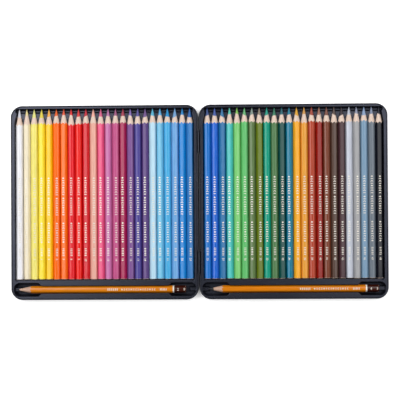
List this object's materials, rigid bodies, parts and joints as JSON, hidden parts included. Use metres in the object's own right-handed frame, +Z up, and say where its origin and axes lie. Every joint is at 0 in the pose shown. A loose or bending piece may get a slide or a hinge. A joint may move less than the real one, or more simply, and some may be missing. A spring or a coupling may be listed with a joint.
{
  "type": "colored pencil box",
  "caption": "Flat tin box that opens like a book on a hinged seam, with a formed tray in each half holding coloring pencils side by side and one graphite pencil crosswise.",
  "frame": {"origin": "centre of the opened tin's outline on the surface it stands on, under the seam", "axes": "+X across the two halves from the left half to the right half, +Y along the pencils towards their tips, +Z up out of the trays"},
  "size_m": [0.3872, 0.2, 0.0133],
  "materials": {
    "black_lacquered_tinplate": "satin dark lacquer on pressed tinplate",
    "hinge_wire": "lacquered steel wire",
    "tray_polystyrene": "vacuum-formed sheet, satin, dark blue-grey",
    "graphite_pencil_lacquer": "glossy ochre lacquer on a wooden barrel, brown end",
    "bare_pencil_wood": "cut wood of the sharpened cone and the end face",
    "foil_marks": "hot-stamped metallic foil marks",
    "graphite_core": "pressed graphite, soft sheen",
    "white_lacquer": "glossy white lacquer on a wooden barrel, matching waxy core",
    "ivory_lacquer": "glossy ivory lacquer on a wooden barrel, matching waxy core",
    "lemon_yellow_lacquer": "glossy lemon yellow lacquer on a wooden barrel, matching waxy core",
    "yellow_lacquer": "glossy yellow lacquer on a wooden barrel, matching waxy core",
    "golden_yellow_lacquer": "glossy golden yellow lacquer on a wooden barrel, matching waxy core",
    "orange_lacquer": "glossy orange lacquer on a wooden barrel, matching waxy core",
    "light_orange_lacquer": "glossy light orange lacquer on a wooden barrel, matching waxy core",
    "red_lacquer": "glossy red lacquer on a wooden barrel, matching waxy core",
    "scarlet_lacquer": "glossy scarlet lacquer on a wooden barrel, matching waxy core",
    "crimson_lacquer": "glossy crimson lacquer on a wooden barrel, matching waxy core",
    "salmon_lacquer": "glossy salmon lacquer on a wooden barrel, matching waxy core",
    "rose_pink_lacquer": "glossy rose pink lacquer on a wooden barrel, matching waxy core",
    "lilac_lacquer": "glossy lilac lacquer on a wooden barrel, matching waxy core",
    "magenta_lacquer": "glossy magenta lacquer on a wooden barrel, matching waxy core",
    "burgundy_lacquer": "glossy burgundy lacquer on a wooden barrel, matching waxy core",
    "violet_lacquer": "glossy violet lacquer on a wooden barrel, matching waxy core",
    "indigo_lacquer": "glossy indigo lacquer on a wooden barrel, matching waxy core",
    "dark_violet_lacquer": "glossy dark violet lacquer on a wooden barrel, matching waxy core",
    "pale_cyan_lacquer": "glossy pale cyan lacquer on a wooden barrel, matching waxy core",
    "sky_blue_lacquer": "glossy sky blue lacquer on a wooden barrel, matching waxy core",
    "azure_lacquer": "glossy azure lacquer on a wooden barrel, matching waxy core",
    "periwinkle_lacquer": "glossy periwinkle lacquer on a wooden barrel, matching waxy core",
    "blue_lacquer": "glossy blue lacquer on a wooden barrel, matching waxy core",
    "dark_blue_lacquer": "glossy dark blue lacquer on a wooden barrel, matching waxy core",
    "cobalt_blue_lacquer": "glossy cobalt blue lacquer on a wooden barrel, matching waxy core",
    "ultramarine_lacquer": "glossy ultramarine lacquer on a wooden barrel, matching waxy core",
    "steel_blue_lacquer": "glossy steel blue lacquer on a wooden barrel, matching waxy core",
    "turquoise_lacquer": "glossy turquoise lacquer on a wooden barrel, matching waxy core",
    "light_green_lacquer": "glossy light green lacquer on a wooden barrel, matching waxy core",
    "green_lacquer": "glossy green lacquer on a wooden barrel, matching waxy core",
    "grey_green_lacquer": "glossy grey green lacquer on a wooden barrel, matching waxy core",
    "olive_lacquer": "glossy olive lacquer on a wooden barrel, matching waxy core",
    "emerald_lacquer": "glossy emerald lacquer on a wooden barrel, matching waxy core",
    "mid_green_lacquer": "glossy mid green lacquer on a wooden barrel, matching waxy core",
    "dark_green_lacquer": "glossy dark green lacquer on a wooden barrel, matching waxy core",
    "teal_blue_lacquer": "glossy teal blue lacquer on a wooden barrel, matching waxy core",
    "yellow_orange_lacquer": "glossy yellow orange lacquer on a wooden barrel, matching waxy core",
    "ochre_lacquer": "glossy ochre lacquer on a wooden barrel, matching waxy core",
    "brick_red_lacquer": "glossy brick red lacquer on a wooden barrel, matching waxy core",
    "rust_lacquer": "glossy rust lacquer on a wooden barrel, matching waxy core",
    "brown_lacquer": "glossy brown lacquer on a wooden barrel, matching waxy core",
    "dark_brown_lacquer": "glossy dark brown lacquer on a wooden barrel, matching waxy core",
    "umber_lacquer": "glossy umber lacquer on a wooden barrel, matching waxy core",
    "lavender_grey_lacquer": "glossy lavender grey lacquer on a wooden barrel, matching waxy core",
    "grey_lacquer": "glossy grey lacquer on a wooden barrel, matching waxy core",
    "pale_blue_grey_lacquer": "glossy pale blue grey lacquer on a wooden barrel, matching waxy core",
    "slate_grey_lacquer": "glossy slate grey lacquer on a wooden barrel, matching waxy core",
    "black_lacquer": "glossy black lacquer on a wooden barrel, matching waxy core"
  },
  "bodies": {
    "base": {"base_shell": "black_lacquered_tinplate", "base_tray": "tray_polystyrene", "hinge_pin_upper": "hinge_wire", "hinge_pin_lower": "hinge_wire"},
    "lid": {"lid_shell": "black_lacquered_tinplate", "lid_tray": "tray_polystyrene"},
    "pencil_01": {"pencil_01_white": "white_lacquer"},
    "pencil_02": {"pencil_02_ivory": "ivory_lacquer"},
    "pencil_03": {"pencil_03_lemon_yellow": "lemon_yellow_lacquer"},
    "pencil_04": {"pencil_04_yellow": "yellow_lacquer"},
    "pencil_05": {"pencil_05_golden_yellow": "golden_yellow_lacquer"},
    "pencil_06": {"pencil_06_orange": "orange_lacquer"},
    "pencil_07": {"pencil_07_light_orange": "light_orange_lacquer"},
    "pencil_08": {"pencil_08_red": "red_lacquer"},
    "pencil_09": {"pencil_09_scarlet": "scarlet_lacquer"},
    "pencil_10": {"pencil_10_crimson": "crimson_lacquer"},
    "pencil_11": {"pencil_11_salmon": "salmon_lacquer"},
    "pencil_12": {"pencil_12_rose_pink": "rose_pink_lacquer"},
    "pencil_13": {"pencil_13_lilac": "lilac_lacquer"},
    "pencil_14": {"pencil_14_magenta": "magenta_lacquer"},
    "pencil_15": {"pencil_15_burgundy": "burgundy_lacquer"},
    "pencil_16": {"pencil_16_violet": "violet_lacquer"},
    "pencil_17": {"pencil_17_indigo": "indigo_lacquer"},
    "pencil_18": {"pencil_18_dark_violet": "dark_violet_lacquer"},
    "pencil_19": {"pencil_19_pale_cyan": "pale_cyan_lacquer"},
    "pencil_20": {"pencil_20_sky_blue": "sky_blue_lacquer"},
    "pencil_21": {"pencil_21_azure": "azure_lacquer"},
    "pencil_22": {"pencil_22_periwinkle": "periwinkle_lacquer"},
    "pencil_23": {"pencil_23_blue": "blue_lacquer"},
    "pencil_24": {"pencil_24_dark_blue": "dark_blue_lacquer"},
    "pencil_25": {"pencil_25_cobalt_blue": "cobalt_blue_lacquer"},
    "pencil_26": {"pencil_26_ultramarine": "ultramarine_lacquer"},
    "pencil_27": {"pencil_27_steel_blue": "steel_blue_lacquer"},
    "pencil_28": {"pencil_28_turquoise": "turquoise_lacquer"},
    "pencil_29": {"pencil_29_light_green": "light_green_lacquer"},
    "pencil_30": {"pencil_30_green": "green_lacquer"},
    "pencil_31": {"pencil_31_grey_green": "grey_green_lacquer"},
    "pencil_32": {"pencil_32_olive": "olive_lacquer"},
    "pencil_33": {"pencil_33_emerald": "emerald_lacquer"},
    "pencil_34": {"pencil_34_mid_green": "mid_green_lacquer"},
    "pencil_35": {"pencil_35_dark_green": "dark_green_lacquer"},
    "pencil_36": {"pencil_36_teal_blue": "teal_blue_lacquer"},
    "pencil_37": {"pencil_37_yellow_orange": "yellow_orange_lacquer"},
    "pencil_38": {"pencil_38_ochre": "ochre_lacquer"},
    "pencil_39": {"pencil_39_brick_red": "brick_red_lacquer"},
    "pencil_40": {"pencil_40_rust": "rust_lacquer"},
    "pencil_41": {"pencil_41_brown": "brown_lacquer"},
    "pencil_42": {"pencil_42_dark_brown": "dark_brown_lacquer"},
    "pencil_43": {"pencil_43_umber": "umber_lacquer"},
    "pencil_44": {"pencil_44_lavender_grey": "lavender_grey_lacquer"},
    "pencil_45": {"pencil_45_grey": "grey_lacquer"},
    "pencil_46": {"pencil_46_pale_blue_grey": "pale_blue_grey_lacquer"},
    "pencil_47": {"pencil_47_slate_grey": "slate_grey_lacquer"},
    "pencil_48": {"pencil_48_black": "black_lacquer"},
    "graphite_pencil_hard": {"graphite_pencil_hard": "graphite_pencil_lacquer"},
    "graphite_pencil_soft": {"graphite_pencil_soft": "graphite_pencil_lacquer"}
  },
  "joints": [
    {"name": "book_hinge", "type": "hinge", "parent": "base", "child": "lid", "pos_m": [0, 0, 0.0125], "axis": [0, 1, 0], "range_deg": [-180, 0]},
    {"name": "pencil_01_lift", "type": "slide", "parent": "base", "child": "pencil_01", "axis": [0, 0, 1], "range_m": [0, 0.012]},
    {"name": "pencil_02_lift", "type": "slide", "parent": "base", "child": "pencil_02", "axis": [0, 0, 1], "range_m": [0, 0.012]},
    {"name": "pencil_03_lift", "type": "slide", "parent": "base", "child": "pencil_03", "axis": [0, 0, 1], "range_m": [0, 0.012]},
    {"name": "pencil_04_lift", "type": "slide", "parent": "base", "child": "pencil_04", "axis": [0, 0, 1], "range_m": [0, 0.012]},
    {"name": "pencil_05_lift", "type": "slide", "parent": "base", "child": "pencil_05", "axis": [0, 0, 1], "range_m": [0, 0.012]},
    {"name": "pencil_06_lift", "type": "slide", "parent": "base", "child": "pencil_06", "axis": [0, 0, 1], "range_m": [0, 0.012]},
    {"name": "pencil_07_lift", "type": "slide", "parent": "base", "child": "pencil_07", "axis": [0, 0, 1], "range_m": [0, 0.012]},
    {"name": "pencil_08_lift", "type": "slide", "parent": "base", "child": "pencil_08", "axis": [0, 0, 1], "range_m": [0, 0.012]},
    {"name": "pencil_09_lift", "type": "slide", "parent": "base", "child": "pencil_09", "axis": [0, 0, 1], "range_m": [0, 0.012]},
    {"name": "pencil_10_lift", "type": "slide", "parent": "base", "child": "pencil_10", "axis": [0, 0, 1], "range_m": [0, 0.012]},
    {"name": "pencil_11_lift", "type": "slide", "parent": "base", "child": "pencil_11", "axis": [0, 0, 1], "range_m": [0, 0.012]},
    {"name": "pencil_12_lift", "type": "slide", "parent": "base", "child": "pencil_12", "axis": [0, 0, 1], "range_m": [0, 0.012]},
    {"name": "pencil_13_lift", "type": "slide", "parent": "base", "child": "pencil_13", "axis": [0, 0, 1], "range_m": [0, 0.012]},
    {"name": "pencil_14_lift", "type": "slide", "parent": "base", "child": "pencil_14", "axis": [0, 0, 1], "range_m": [0, 0.012]},
    {"name": "pencil_15_lift", "type": "slide", "parent": "base", "child": "pencil_15", "axis": [0, 0, 1], "range_m": [0, 0.012]},
    {"name": "pencil_16_lift", "type": "slide", "parent": "base", "child": "pencil_16", "axis": [0, 0, 1], "range_m": [0, 0.012]},
    {"name": "pencil_17_lift", "type": "slide", "parent": "base", "child": "pencil_17", "axis": [0, 0, 1], "range_m": [0, 0.012]},
    {"name": "pencil_18_lift", "type": "slide", "parent": "base", "child": "pencil_18", "axis": [0, 0, 1], "range_m": [0, 0.012]},
    {"name": "pencil_19_lift", "type": "slide", "parent": "base", "child": "pencil_19", "axis": [0, 0, 1], "range_m": [0, 0.012]},
    {"name": "pencil_20_lift", "type": "slide", "parent": "base", "child": "pencil_20", "axis": [0, 0, 1], "range_m": [0, 0.012]},
    {"name": "pencil_21_lift", "type": "slide", "parent": "base", "child": "pencil_21", "axis": [0, 0, 1], "range_m": [0, 0.012]},
    {"name": "pencil_22_lift", "type": "slide", "parent": "base", "child": "pencil_22", "axis": [0, 0, 1], "range_m": [0, 0.012]},
    {"name": "pencil_23_lift", "type": "slide", "parent": "base", "child": "pencil_23", "axis": [0, 0, 1], "range_m": [0, 0.012]},
    {"name": "pencil_24_lift", "type": "slide", "parent": "base", "child": "pencil_24", "axis": [0, 0, 1], "range_m": [0, 0.012]},
    {"name": "pencil_25_lift", "type": "slide", "parent": "lid", "child": "pencil_25", "axis": [0, 0, 1], "range_m": [0, 0.012]},
    {"name": "pencil_26_lift", "type": "slide", "parent": "lid", "child": "pencil_26", "axis": [0, 0, 1], "range_m": [0, 0.012]},
    {"name": "pencil_27_lift", "type": "slide", "parent": "lid", "child": "pencil_27", "axis": [0, 0, 1], "range_m": [0, 0.012]},
    {"name": "pencil_28_lift", "type": "slide", "parent": "lid", "child": "pencil_28", "axis": [0, 0, 1], "range_m": [0, 0.012]},
    {"name": "pencil_29_lift", "type": "slide", "parent": "lid", "child": "pencil_29", "axis": [0, 0, 1], "range_m": [0, 0.012]},
    {"name": "pencil_30_lift", "type": "slide", "parent": "lid", "child": "pencil_30", "axis": [0, 0, 1], "range_m": [0, 0.012]},
    {"name": "pencil_31_lift", "type": "slide", "parent": "lid", "child": "pencil_31", "axis": [0, 0, 1], "range_m": [0, 0.012]},
    {"name": "pencil_32_lift", "type": "slide", "parent": "lid", "child": "pencil_32", "axis": [0, 0, 1], "range_m": [0, 0.012]},
    {"name": "pencil_33_lift", "type": "slide", "parent": "lid", "child": "pencil_33", "axis": [0, 0, 1], "range_m": [0, 0.012]},
    {"name": "pencil_34_lift", "type": "slide", "parent": "lid", "child": "pencil_34", "axis": [0, 0, 1], "range_m": [0, 0.012]},
    {"name": "pencil_35_lift", "type": "slide", "parent": "lid", "child": "pencil_35", "axis": [0, 0, 1], "range_m": [0, 0.012]},
    {"name": "pencil_36_lift", "type": "slide", "parent": "lid", "child": "pencil_36", "axis": [0, 0, 1], "range_m": [0, 0.012]},
    {"name": "pencil_37_lift", "type": "slide", "parent": "lid", "child": "pencil_37", "axis": [0, 0, 1], "range_m": [0, 0.012]},
    {"name": "pencil_38_lift", "type": "slide", "parent": "lid", "child": "pencil_38", "axis": [0, 0, 1], "range_m": [0, 0.012]},
    {"name": "pencil_39_lift", "type": "slide", "parent": "lid", "child": "pencil_39", "axis": [0, 0, 1], "range_m": [0, 0.012]},
    {"name": "pencil_40_lift", "type": "slide", "parent": "lid", "child": "pencil_40", "axis": [0, 0, 1], "range_m": [0, 0.012]},
    {"name": "pencil_41_lift", "type": "slide", "parent": "lid", "child": "pencil_41", "axis": [0, 0, 1], "range_m": [0, 0.012]},
    {"name": "pencil_42_lift", "type": "slide", "parent": "lid", "child": "pencil_42", "axis": [0, 0, 1], "range_m": [0, 0.012]},
    {"name": "pencil_43_lift", "type": "slide", "parent": "lid", "child": "pencil_43", "axis": [0, 0, 1], "range_m": [0, 0.012]},
    {"name": "pencil_44_lift", "type": "slide", "parent": "lid", "child": "pencil_44", "axis": [0, 0, 1], "range_m": [0, 0.012]},
    {"name": "pencil_45_lift", "type": "slide", "parent": "lid", "child": "pencil_45", "axis": [0, 0, 1], "range_m": [0, 0.012]},
    {"name": "pencil_46_lift", "type": "slide", "parent": "lid", "child": "pencil_46", "axis": [0, 0, 1], "range_m": [0, 0.012]},
    {"name": "pencil_47_lift", "type": "slide", "parent": "lid", "child": "pencil_47", "axis": [0, 0, 1], "range_m": [0, 0.012]},
    {"name": "pencil_48_lift", "type": "slide", "parent": "lid", "child": "pencil_48", "axis": [0, 0, 1], "range_m": [0, 0.012]},
    {"name": "graphite_pencil_hard_lift", "type": "slide", "parent": "base", "child": "graphite_pencil_hard", "axis": [0, 0, 1], "range_m": [0, 0.012]},
    {"name": "graphite_pencil_soft_lift", "type": "slide", "parent": "lid", "child": "graphite_pencil_soft", "axis": [0, 0, 1], "range_m": [0, 0.012]}
  ]
}
